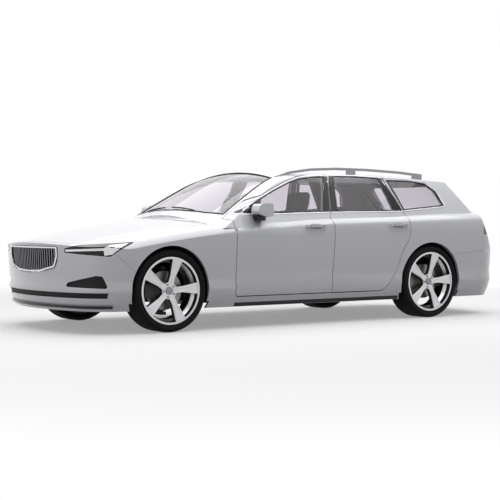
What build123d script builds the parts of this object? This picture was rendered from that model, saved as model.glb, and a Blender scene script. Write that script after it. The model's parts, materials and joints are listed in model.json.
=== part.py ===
from build123d import *
import math
import os

# Sizes in mm. X runs aft, Y to the right, Z up; zero is on the ground under the middle of the car.
X_FRONT_AXLE = -1596.0
X_REAR_AXLE = 1345.0
Z_AXLE = 350.0
Y_WHEEL = 800.0
TYRE_RADIUS = 350.0
TYRE_WIDTH = 245.0
RIM_RADIUS = 284.0
Y_KINGPIN = 763.0
ARCH_LIP = 378.0
ARCH_HOUSE = 405.0
LINER_SKIN = 7.0
GAP = 8.0
PANEL = 28.0
WALL = 60.0
ROOF_WALL = 35.0
GLASS_SET = 3.0
LAMP_FIT = 0.2
GLASS_SKIN = 5.0
MIN_SOLID = 400.0

# Lower body: one upright section swept round a plan outline of tangent arcs and straight sides
X_NOSE = -2468.0
R_NOSE = 2000.0
R_NOSE_CORNER = 430.0
HALF_WIDTH = 939.0
X_STERN = 2468.0
R_STERN = 1900.0
R_STERN_CORNER = 330.0
# Section: how far the skin lies inside the outline, and z
SKIRT_LOW = [(70, 190), (36, 270), (14, 350), (20, 440)]
SKIRT_SIDE = [(20, 440), (6, 660), (0, 850)]
SKIRT_TOP = [(0, 850), (8, 940), (40, 1060)]
Z_BELOW = 150.0

# Hood and shoulder line on the centre plane: x where a part starts, slope there; the section is the same along it
CROWN_PATH = [(-2560, 0.2385), (-800, 0.075), (300, 0.02), (2600, 0.02)]
Z_PATH_START = 729.0
R_CROWN = 4500.0
R_SHOULDER = 130.0
CROWN_HALF = 951.0

# Windscreen and roof line on the centre plane: x where a part starts, slope there
ROOF_PATH = [(-1330, 0.600), (-560, 0.500), (-90, 0.040), (2400, -0.112)]
Z_ROOF_START = 880.0
R_ROOF_CROWN = 3000.0
ROOF_HALF = 1000.0
ROOF_DEPTH = 540.0
HALF_SILL = 887.0
X_TAPER = 900.0
TAPER = 0.045
Z_SILL = 960.0
TUMBLE = math.radians(21)
R_GLASS = 2600.0
TAIL_TOP = (1925.0, 1300.0)
TAIL_LOW = (2215.0, 1022.0)
GATE_TOP = (2226.0, 1010.0)
GATE_LOW = (2420.0, 620.0)
R_TAIL = 2200.0

# Doors: the cut through the wall leans forward going inboard, so that trailing edges swing free
Y_SKIN = 939.0
LEAN = 0.36
Y_DOOR_TOP = 640.0
# Inner limit of the doors beside the windscreen pillar, seen from above: x, y
PILLAR_LINE = [(-1100, -806, 0), (-322, -640, 0), (1300, -640, 0), (1300, 0, 0), (-1100, 0, 0)]
SIDE_INSET = [
    # z, how far the outer skin lies inboard of Y_SKIN
    (190, 71), (270, 39), (350, 15), (560, 16), (700, 5), (850, 0), (940, 15),
    (985, 62), (1050, 88), (1150, 134), (1250, 184), (1340, 234), (1400, 270),
]
BREAKS = (350, 700, 940, 985, 1150, 1250)

# Outlines seen from the side: x, z, corner radius
FRONT_DOOR = [(-942, 280, 30), (-942, 700, 0), (-950, 962, 0), (-900, 1010, 20), (-640, 1140, 0), (-450, 1224, 0),
              (-262, 1298, 0), (-130, 1336, 60), (60, 1362, 0), (242, 1369, 0), (134, 985, 0), (141, 765, 0),
              (122, 280, 10)]
REAR_DOOR = [(122, 280, 10), (141, 765, 0), (134, 985, 0), (242, 1369, 0), (560, 1373, 0), (925, 1360, 30),
             (1058, 985, 30), (1066, 790, 90), (974, 655, 0), (899, 444, 120), (745, 280, 60)]
FRONT_WINDOW = [(-700, 1000, 12), (-706, 1085, 8), (-624, 1122, 0), (-440, 1204, 0), (-247, 1278, 60), (-110, 1317, 60),
                (60, 1340, 0), (188, 1346, 12), (62, 1022, 12), (-314, 1012, 0)]
REAR_WINDOW = [(222, 1024, 12), (300, 1349, 12), (560, 1352, 0), (852, 1342, 14), (925, 1036, 14)]
QUARTER_WINDOW = [(1061, 1043, 14), (961, 1326, 14), (1240, 1322, 0), (1455, 1298, 60), (1562, 1224, 40), (1618, 1088, 14)]
REAR_BUMPER = [(1500, 100, 0), (2700, 100, 0), (2700, 640, 0), (2060, 640, 0), (1600, 610, 0)]
FRONT_BUMPER = [(-2700, 100, 0), (-1880, 100, 0), (-1880, 455, 0), (-2110, 660, 0), (-2110, 1200, 0), (-2700, 1200, 0)]
TAIL_LAMP = [(2040, 800, 16), (2058, 1006, 30), (1790, 1296, 8), (1990, 1296, 0), (2330, 1030, 0), (2420, 800, 0)]

# Outlines seen square to the front corner: distance along the corner (aft and outboard), z, radius
HEADLAMP = [(-1314, 672, 10), (-1314, 707, 10), (-1180, 738, 60), (-728, 763, 6), (-897, 642, 26)]
SIDE_INTAKE = [(-1310, 392, 12), (-1285, 428, 12), (-1020, 486, 16), (-965, 482, 20), (-916, 380, 16)]

# Outlines seen from the front: y, z, radius
GRILLE = [(-445, 723, 26), (445, 723, 26), (447, 640, 60), (405, 548, 40), (200, 508, 200), (0, 500, 0), (-200, 508, 200),
          (-405, 548, 40), (-447, 640, 60)]
GRILLE_BARS = 25
GRILLE_FRAME = 16.0
REAR_WINDOW_BACK = [(-575, 1050, 40), (575, 1050, 40), (520, 1288, 40), (-520, 1288, 40)]

# Wheel: radius, distance outboard of the wheel's middle plane
TYRE_SECTION = [(272, 104, 0), (290, 107, 0), (318, 122.5, 0), (350, 98, 0), (350, -98, 0), (318, -122.5, 0),
                (290, -107, 0), (272, -104, 0)]
RIM_SECTION = [(284, 114, 0), (284, 106, 0), (272, 104, 0), (272, 66, 0), (250, 44, 0), (250, -50, 0), (272, -66, 0),
               (272, -104, 0), (284, -106, 0), (284, -114, 0), (270, -114, 0), (262, -100, 0), (240, -60, 0),
               (240, 44, 0), (262, 70, 0), (266, 114, 0)]
SPOKE_SECTION = [(0, 86, 0), (70, 88, 0), (200, 104, 0), (270, 112, 0), (270, 70, 0), (200, 62, 0), (70, 50, 0), (0, 50, 0)]
SPOKE_ANGLES = (4, 76, 148, 220, 292)
SPOKE = [(30, -26, 0), (120, -24, 0), (268, -52, 0), (268, 46, 0), (120, 26, 0), (30, 28, 0)]
HUB_RADIUS = 72.0
DISC_RADIUS = 165.0
DISC_HAT = 78.0
Y_MOUNT = 50.0

# Middle pillar behind the doors, seen from the front: y, z
CENTRE_POST = [(-830, 245, 0), (-846, 560, 0), (-856, 880, 0), (-800, 1010, 0), (-655, 1310, 0), (-600, 1345, 0),
               (-590, 1310, 0), (-760, 1000, 0), (-812, 880, 0), (-800, 245, 0)]
# Hinge pins: the pin lies in the shut line just under the skin, held by a saddle on the fixed side
PIN_RADIUS = 3.5
PIN_HALF = 30.0
PIN_TAB = 10.0
RUNNING_FIT = 0.05
Y_PIN = 120.0
Z_DOOR_PIN = 845.0
KINGPIN_RADIUS = 12.0
Z_ARM_LOW = (142.0, 168.0)
Z_ARM_HIGH = (528.0, 550.0)
Z_UPRIGHT = (174.0, 522.0)
Y_ARM_END = 790.0
Y_STRUT = 608.0
STRUT_RADIUS = 27.0
SPINDLE_RADIUS = 20.0
SPINDLE_DEPTH = 20.0
DISC_BACK = 4.0
CRADLE_Z = (230.0, 300.0)
Z_FLOOR_UNDER = 225.0
Z_LOAD_FLOOR = 500.0
X_FIRE_WALL = -1074.0
PIPE_RADIUS = 28.0
Z_PIPE = 195.0
X_SILENCER = 2180.0
Z_SILENCER = 290.0
SILENCER_RADIUS = 90.0
ENGINE = (-2120.0, -1480.0, 300.0, 330.0, 740.0)
# Roof rail seen from the side: x, z of its top, corner radius; feet from x to x
RAIL_TOP = [(-300, 1338, 0), (-120, 1392, 60), (120, 1424, 300), (420, 1438, 900), (800, 1436, 900), (1200, 1421, 900),
            (1515, 1398, 0)]
RAIL_HEIGHT = 24.0
RAIL_Y = (-602.0, -578.0)
RAIL_FEET = [(-300, -180), (560, 660), (1400, 1515)]
SEAT_WIDTH = 470
Y_SEAT = 392
X_SEAT = -310
DASH_HALF_WIDTH = 730

# Outlines seen from above: x, y, radius
X_HOOD_REAR = -1150.0
HOOD = [(-2428, 0, 0), (-2404, -300, 0), (-2345, -520, 60), (-2240, -668, 60), (-1700, -738, 0), (X_HOOD_REAR, -772, 10),
        (X_HOOD_REAR, 772, 10), (-1700, 738, 0), (-2240, 668, 60), (-2345, 520, 60), (-2404, 300, 0)]
WINDSCREEN = [(-1070, 0, 0), (-1052, -300, 0), (-1010, -560, 0), (-956, -742, 20), (-322, -602, 20), (-334, 0, 0),
              (-322, 602, 20), (-956, 742, 20), (-1010, 560, 0), (-1052, 300, 0)]
Y_ROOF_EDGE = 585.0
X_ROOF_FRONT = -326.0
X_TAILGATE = 1700.0
Y_TAILGATE = 640.0
Z_TAILGATE = 648.0
X_DOOR_FRONT = -942.0


def level(table, x):
    # Straight-line reading of a two-column table
    for (x0, v0), (x1, v1) in zip(table, table[1:]):
        if x <= x1:
            return v0 + (v1 - v0) * (x - x0) / (x1 - x0)
    return table[-1][1]


def on_circle(c, p, r):
    d = math.dist(c, p)
    return (c[0] + (p[0] - c[0]) * r / d, c[1] + (p[1] - c[1]) * r / d)


def rounded(points, place):
    # Closed wire through corners (a, b, radius) set in space by place(a, b)
    marks = []
    for i, (a, b, r) in enumerate(points):
        if not r:
            marks.append(((a, b), None, (a, b)))
            continue
        pa, pb = points[i - 1], points[(i + 1) % len(points)]
        la, lb = math.dist(pa[:2], (a, b)), math.dist(pb[:2], (a, b))
        ua = ((pa[0] - a) / la, (pa[1] - b) / la)
        ub = ((pb[0] - a) / lb, (pb[1] - b) / lb)
        half = math.acos(max(-1.0, min(1.0, ua[0] * ub[0] + ua[1] * ub[1]))) / 2
        if math.degrees(half) > 89:
            marks.append(((a, b), None, (a, b)))
            continue
        reach = min(r / math.tan(half), 0.45 * la, 0.45 * lb)
        r = reach * math.tan(half)
        sx, sy = ua[0] + ub[0], ua[1] + ub[1]
        s = math.hypot(sx, sy)
        depth = r / math.sin(half) - r
        marks.append(((a + ua[0] * reach, b + ua[1] * reach), (a + sx / s * depth, b + sy / s * depth),
                      (a + ub[0] * reach, b + ub[1] * reach)))
    edges = []
    for i, (start, mid, end) in enumerate(marks):
        if mid:
            edges.append(ThreePointArc(place(*start), place(*mid), place(*end)))
        after = marks[(i + 1) % len(marks)][0]
        if math.dist(end, after) > 1e-6:
            edges.append(Line(place(*end), place(*after)))
    return Wire(edges)


def grow(points, d):
    # Outline with every side moved outward by d (inward when d is negative)
    area = sum(p[0] * q[1] - q[0] * p[1] for p, q in zip(points, points[1:] + points[:1]))
    turn = 1 if area > 0 else -1
    result = []
    for i, (a, b, r) in enumerate(points):
        p, q = points[i - 1], points[(i + 1) % len(points)]
        l1, l2 = math.dist(p[:2], (a, b)), math.dist(q[:2], (a, b))
        n1 = ((b - p[1]) / l1 * turn, -(a - p[0]) / l1 * turn)
        n2 = ((q[1] - b) / l2 * turn, -(q[0] - a) / l2 * turn)
        k = 1 + n1[0] * n2[0] + n1[1] * n2[1]
        cross = (n1[0] * n2[1] - n1[1] * n2[0]) * turn
        r_new = max(r + (d if cross > 0 else -d), 0) if r else 0
        result.append((a + d * (n1[0] + n2[0]) / k, b + d * (n1[1] + n2[1]) / k, r_new))
    return result


def along_y(points, y0, y1):
    return Solid.extrude(Face(rounded(points, lambda a, b: (a, y0, b))), Vector(0, y1 - y0, 0))


def along_x(points, x0, x1):
    return Solid.extrude(Face(rounded(points, lambda a, b: (x0, a, b))), Vector(x1 - x0, 0, 0))


def along_z(points, z0, z1):
    return Solid.extrude(Face(rounded(points, lambda a, b: (a, b, z0))), Vector(0, 0, z1 - z0))


def at_corner(points, near, far):
    # Prism square to the left front corner; near and far are distances from the car's middle
    k = math.sqrt(0.5)
    return Solid.extrude(Face(rounded(points, lambda a, b: (k * (a - far), -k * (a + far), b))),
                         Vector(k * (far - near), k * (far - near), 0))


def leaned(points, y_in):
    # Door prism to the inner plane y_in, whose walls lean forward going inboard; the outline is true on the skin
    split = []
    for p, q in zip(points, points[1:] + points[:1]):
        split.append(p)
        marks = [z for z in BREAKS if min(p[1], q[1]) + 15 < z < max(p[1], q[1]) - 15]
        for z in sorted(marks, reverse=p[1] > q[1]):
            split.append((p[0] + (q[0] - p[0]) * (z - p[1]) / (q[1] - p[1]), z, 0))
    inboard = along_z(grow(PILLAR_LINE, -y_in - Y_DOOR_TOP), 100, 1600)
    shifted = [(x + LEAN * level(SIDE_INSET, z), z, r) for x, z, r in split]
    reach = 120.0
    depth = Y_SKIN + reach + y_in
    prism = Solid.extrude(Face(rounded(shifted, lambda a, b: (a + LEAN * reach, -Y_SKIN - reach, b))),
                          Vector(-LEAN * depth, depth, 0))
    return prism - inboard


def box(x0, x1, y0, y1, z0, z1):
    return Solid.make_box(x1 - x0, y1 - y0, z1 - z0, Plane((x0, y0, z0)))


def cylinder_y(x, z, r, y0, y1):
    return Solid.make_cylinder(r, y1 - y0, Plane(origin=(x, y0, z), x_dir=(1, 0, 0), z_dir=(0, 1, 0)))


def path_height(path, z_start, x):
    # Height of a centre line at x
    for kind, p0, p1, a0, a1, c, r in path_marks(path, z_start, 0):
        if x <= p1[0]:
            if kind == "line":
                return p0[1] + (x - p0[0]) * (p1[1] - p0[1]) / (p1[0] - p0[0])
            return c[1] + math.copysign(math.sqrt(r * r - (x - c[0]) ** 2), r)
    return p1[1]


def cross_pin(x, y, z, aft):
    # Pin across the car with its tab on the moving panel, and the saddle on the fixed one; aft is 1 when the fixed
    # panel lies behind the pin
    pin = cylinder_y(x, z, PIN_RADIUS, y - PIN_HALF, y + PIN_HALF)
    x0, x1 = sorted((x, x - aft * PIN_TAB))
    tab = box(x0, x1, y - PIN_TAB, y + PIN_TAB, z - PIN_RADIUS, z + PIN_RADIUS / 2)
    saddles = []
    x0, x1 = sorted((x, x + aft * PIN_TAB))
    for side in (-1, 1):
        y0, y1 = sorted((y + side * (PIN_TAB + 2), y + side * PIN_HALF))
        block = box(x0, x1, y0, y1, z - PIN_RADIUS * 2, z + PIN_RADIUS / 2)
        saddles.append(block - cylinder_y(x, z, PIN_RADIUS + RUNNING_FIT, y0 - 1, y1 + 1))
    return pin.fuse(tab), saddles


def upright_pin(x, y, z, aft):
    # The same for a door whose pin stands upright at the left side
    def post(radius, half):
        return Solid.make_cylinder(radius, 2 * half, Plane((x, y, z - half)))
    x0, x1 = sorted((x, x - aft * PIN_TAB))
    tab = box(x0, x1, y - PIN_RADIUS / 2, y + PIN_RADIUS * 2, z - PIN_TAB, z + PIN_TAB)
    saddles = []
    x0, x1 = sorted((x, x + aft * PIN_TAB))
    for side in (-1, 1):
        z0, z1 = sorted((z + side * (PIN_TAB + 2), z + side * PIN_HALF))
        block = box(x0, x1, y - PIN_RADIUS / 2, y + PIN_RADIUS * 2, z0, z1)
        saddles.append(block - post(PIN_RADIUS + RUNNING_FIT, PIN_HALF + 1))
    return post(PIN_RADIUS, PIN_HALF).fuse(tab), saddles


def other_side(shape):
    return mirror(shape, about=Plane.XZ)


def save(name, *pieces):
    solids = [s for p in pieces for s in p.solids() if s.volume > MIN_SOLID]
    export_step(solids[0] if len(solids) == 1 else Compound(solids), "parts/" + name + ".step")
    return solids


def skirt_face(t, place, inner):
    # Section of the lower body from its skin, moved in by t, to a line at the inner distance
    low, side, top = SKIRT_LOW, SKIRT_SIDE, SKIRT_TOP
    z_low = Z_BELOW if t > 0 else low[0][1]

    def at(p):
        return place(p[0] + t, p[1])

    edges = [Line(at(p), at(q)) for p, q in zip(low, low[1:])]
    edges += [ThreePointArc(at(side[0]), at(side[1]), at(side[2])), ThreePointArc(at(top[0]), at(top[1]), at(top[2]))]
    edges += [Line(at(top[2]), place(inner, top[2][1])), Line(place(inner, top[2][1]), place(inner, z_low))]
    if t > 0:
        edges += [Line(place(inner, z_low), place(low[0][0] + t, z_low)), Line(place(low[0][0] + t, z_low), at(low[0]))]
    else:
        edges.append(Line(place(inner, z_low), at(low[0])))
    return Face(Wire(edges))


def sector(t, cx, cy, r, inner, start, sweep):
    # Part of the lower body turned about the upright axis through (cx, cy); angles from +X
    c, d = math.cos(math.radians(start)), math.sin(math.radians(start))
    face = skirt_face(t, lambda e, z: (cx + (r - e) * c, cy + (r - e) * d, z), inner)
    return Solid.revolve(face, sweep, Axis((cx, cy, 0), (0, 0, 1)))


def hull(t):
    # Lower body with its skin moved in by t
    pieces = []
    ends = []
    for aft, x_tip, r, rc in ((-1, X_NOSE, R_NOSE, R_NOSE_CORNER), (1, X_STERN, R_STERN, R_STERN_CORNER)):
        cx, y_c = x_tip - aft * r, HALF_WIDTH - rc
        angle = math.degrees(math.asin(y_c / (r - rc)))
        x_c = cx + aft * math.sqrt((r - rc) ** 2 - y_c ** 2)
        ends.append(x_c)
        middle = 180 if aft < 0 else 0
        pieces.append(sector(t, cx, 0, r, 400, middle - angle, 2 * angle))
        for side in (-1, 1):
            if aft < 0:
                a0, a1 = (180 + angle, 270) if side < 0 else (90, 180 - angle)
            else:
                a0, a1 = (-90, -angle) if side < 0 else (angle, 90)
            pieces.append(sector(t, x_c, side * y_c, rc, rc, a0, a1 - a0))
    for side in (-1, 1):
        face = skirt_face(t, lambda e, z: (ends[0], side * (HALF_WIDTH - e), z), 450)
        pieces.append(Solid.extrude(face, Vector(ends[1] - ends[0], 0, 0)))
    k = [(-2268, 0), (-2171, -583), (ends[0], -700), (ends[1], -700), (2150, -560), (2240, 0)]
    core = [(x, y, 0) for x, y in k] + [(x, -y, 0) for x, y in reversed(k[1:-1])]
    z_low = Z_BELOW if t > 0 else SKIRT_LOW[0][1]
    pieces.append(along_z(core, z_low, SKIRT_TOP[-1][1]))
    return pieces[0].fuse(*pieces[1:])


def path_marks(path, z_start, t):
    # For each part of a centre line: start point, end point, slopes, and centre and radius of its arc
    marks = []
    x, z = path[0][0], z_start
    for (x0, s0), (x1, s1) in zip(path, path[1:]):
        a0, a1 = math.atan(s0), math.atan(s1)
        if abs(a0 - a1) < 1e-9:
            z1 = z + (x1 - x0) * s0
            marks.append(("line", (x0, z), (x1, z1), a0, a1, None, 0))
        else:
            r = (x1 - x0) / (math.sin(a0) - math.sin(a1))
            c = (x0 + r * math.sin(a0), z - r * math.cos(a0))
            z1 = c[1] + r * math.cos(a1)
            marks.append(("arc", (x0, z), (x1, z1), a0, a1, c, r))
        z = z1
    return marks


def swept(path, z_start, section):
    # Solid of a cross section carried along a centre line; section(place) draws it with place(y, height)
    pieces = []
    for kind, p0, p1, a0, a1, c, r in path_marks(path, z_start, 0):
        up = (-math.sin(a0), math.cos(a0))

        def place(y, h):
            return (p0[0] + up[0] * h, y, p0[1] + up[1] * h)

        face = Face(section(place))
        if kind == "line":
            pieces.append(Solid.extrude(face, Vector(p1[0] - p0[0], 0, p1[1] - p0[1])))
        else:
            pieces.append(Solid.revolve(face, math.degrees(a0 - a1), Axis((c[0], 0, c[1]), (0, 1, 0))))
    return pieces[0].fuse(*pieces[1:])


def crown_section(t):
    def draw(place):
        w, r = CROWN_HALF - t, R_CROWN - t
        rs = R_SHOULDER - t / 2
        cy = rs - w
        cz = -R_CROWN + math.sqrt((r - rs) ** 2 - cy ** 2)
        t1 = (cy - rs, cz)
        t2 = on_circle((0, -R_CROWN), (cy, cz), r)
        m = on_circle((cy, cz), ((t1[0] + t2[0]) / 2, (t1[1] + t2[1]) / 2), rs)
        low = -1100
        return Wire([Line(place(-w, low), place(*t1)), ThreePointArc(place(*t1), place(*m), place(*t2)),
                     ThreePointArc(place(*t2), place(0, -t), place(-t2[0], t2[1])),
                     ThreePointArc(place(-t2[0], t2[1]), place(-m[0], m[1]), place(-t1[0], t1[1])),
                     Line(place(-t1[0], t1[1]), place(w, low)), Line(place(w, low), place(-w, low))])
    return draw


def roof_section(t):
    def draw(place):
        w, r = ROOF_HALF, R_ROOF_CROWN - t
        sag = r - math.sqrt(r * r - w * w)
        return Wire([ThreePointArc(place(-w, -t - sag), place(0, -t), place(w, -t - sag)),
                     Line(place(w, -t - sag), place(w, -ROOF_DEPTH)), Line(place(w, -ROOF_DEPTH), place(-w, -ROOF_DEPTH)),
                     Line(place(-w, -ROOF_DEPTH), place(-w, -t - sag))])
    return draw


def low_body(t):
    body = hull(t) & swept(CROWN_PATH, Z_PATH_START, crown_section(t))
    return body - sloped_block(GATE_TOP, GATE_LOW, t)


def sloped_block(top, low, t):
    # Everything aft of a sloping face that is crowned across the car
    dx, dz = low[0] - top[0], low[1] - top[1]
    d = math.hypot(dx, dz)
    run = Vector(dx / d, 0, dz / d)
    out = Vector(-dz / d, 0, dx / d)
    start = Vector(low[0], 0, low[1]) - run * 1500 - out * t
    half = 1000.0
    sag = R_TAIL - math.sqrt(R_TAIL ** 2 - half ** 2)

    def at(y, depth):
        p = start - out * depth
        return (p.X, y, p.Z)

    wire = Wire([ThreePointArc(at(-half, sag), at(0, 0), at(half, sag)), Line(at(half, sag), at(half, -900)),
                 Line(at(half, -900), at(-half, -900)), Line(at(-half, -900), at(-half, sag))])
    return Solid.extrude(Face(wire), run * (1500 if low is GATE_LOW else 3000))


def side_limit(t, side):
    # Everything inboard of one side of the window body, which tapers behind X_TAPER
    cs = (R_GLASS * math.cos(TUMBLE) - HALF_SILL, Z_SILL - R_GLASS * math.sin(TUMBLE))
    r = R_GLASS - t

    def y_at(z):
        return cs[0] - math.sqrt(r * r - (z - cs[1]) ** 2)

    def face(x):
        def p(y, z):
            return (x, -side * y, z)
        return Face(Wire([ThreePointArc(p(y_at(760), 760), p(y_at(1150), 1150), p(y_at(1560), 1560)),
                          Line(p(y_at(1560), 1560), p(950, 1560)), Line(p(950, 1560), p(950, 760)),
                          Line(p(950, 760), p(y_at(760), 760))]))

    front = Solid.extrude(face(-1400), Vector(X_TAPER + 1400, 0, 0))
    rear = Solid.extrude(face(X_TAPER), Vector(1600, -side * 1600 * TAPER, 0))
    return front.fuse(rear)


def house_body(t):
    z_low = 870.0 if t == 0 else 800.0
    keep = [(X_HOOD_REAR + GAP / 2, z_low, 0), (1300, z_low + 60, 0), (2310, z_low + 110, 0), (2310, 1500, 0), (X_HOOD_REAR + GAP / 2, 1500, 0)]
    body = swept(ROOF_PATH, Z_ROOF_START, roof_section(t))
    body = body & side_limit(t, -1) & side_limit(t, 1) & along_y(keep, -1000, 1000)
    return body - sloped_block(TAIL_TOP, TAIL_LOW, t)


def wheel_place(side, x):
    # Turns (radius, outboard) of a wheel section into space
    return lambda a, b: (x, side * (Y_WHEEL + b), Z_AXLE + a)


def turned(section, side, x):
    axis = Axis((x, 0, Z_AXLE), (0, 1, 0))
    return Solid.revolve(Face(rounded(section, wheel_place(side, x))), 360, axis)


def spokes(side, x):
    # Spoke angles run from aft toward the top, as seen from outside on the left
    dish = turned(SPOKE_SECTION, side, x)
    blades = []
    for angle in SPOKE_ANGLES:
        c, d = math.cos(math.radians(angle)), math.sin(math.radians(angle))
        turn = 1 if side < 0 else -1

        def place(a, b):
            return (x + turn * (a * c - b * d), side * 700, Z_AXLE + a * d + b * c)

        blades.append(Solid.extrude(Face(rounded(SPOKE, place)), Vector(0, side * 240, 0)))
    star = blades[0].fuse(*blades[1:])
    return dish & star


def wheel(side, x, name):
    tyre = turned(TYRE_SECTION, side, x)
    y_face, y_mount = side * (Y_WHEEL + 86), side * (Y_WHEEL + Y_MOUNT)
    hub = cylinder_y(x, Z_AXLE, HUB_RADIUS, min(y_face, y_mount), max(y_face, y_mount))
    rim = turned(RIM_SECTION, side, x).fuse(spokes(side, x), hub)
    save("tyre_" + name, tyre)
    save("rim_" + name, rim)
    hat = [(0, 50, 0), (DISC_HAT, 50, 0), (DISC_HAT, 10, 0), (DISC_RADIUS, 10, 0), (DISC_RADIUS, -18, 0), (60, -18, 0),
           (60, -DISC_BACK, 0), (0, -DISC_BACK, 0)]
    seat = cylinder_y(x, Z_AXLE, SPINDLE_RADIUS + RUNNING_FIT, *sorted((side * (Y_WHEEL - DISC_BACK - 20),
                                                                        side * (Y_WHEEL + SPINDLE_DEPTH))))
    save("brake_disc_" + name, turned(hat, side, x) - seat)


def axle_spindle(x, side):
    # Stub that carries the brake disc, from the bearing to just short of the end of its seat
    return cylinder_y(x, Z_AXLE, SPINDLE_RADIUS, *sorted((side * 740, side * (Y_WHEEL + SPINDLE_DEPTH - 1))))


def arch_cuts(x, y_in):
    # Lip through the skin, and the wider wheel house behind it, both sides
    cuts = []
    for y0, y1, r in ((-1000, -845, ARCH_LIP), (-895, -y_in, ARCH_HOUSE)):
        cuts.append(cylinder_y(x, Z_AXLE, r, y0, y1))
        cuts.append(cylinder_y(x, Z_AXLE, r, -y1, -y0))
    return cuts


def liner(x, y_in, inside):
    # Wheel house liner of the left side with its inner wall above the arms
    ring = cylinder_y(x, Z_AXLE, ARCH_HOUSE + LINER_SKIN, -940, -y_in + LINER_SKIN)
    ring = ring - cylinder_y(x, Z_AXLE, ARCH_HOUSE, -960, -y_in)
    ring = ring & box(x - 500, x + 500, -960, -300, 236, 900) & inside
    return ring - box(x - 360, x + 360, -y_in - 1, -y_in + 20, 200, 470)


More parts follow.
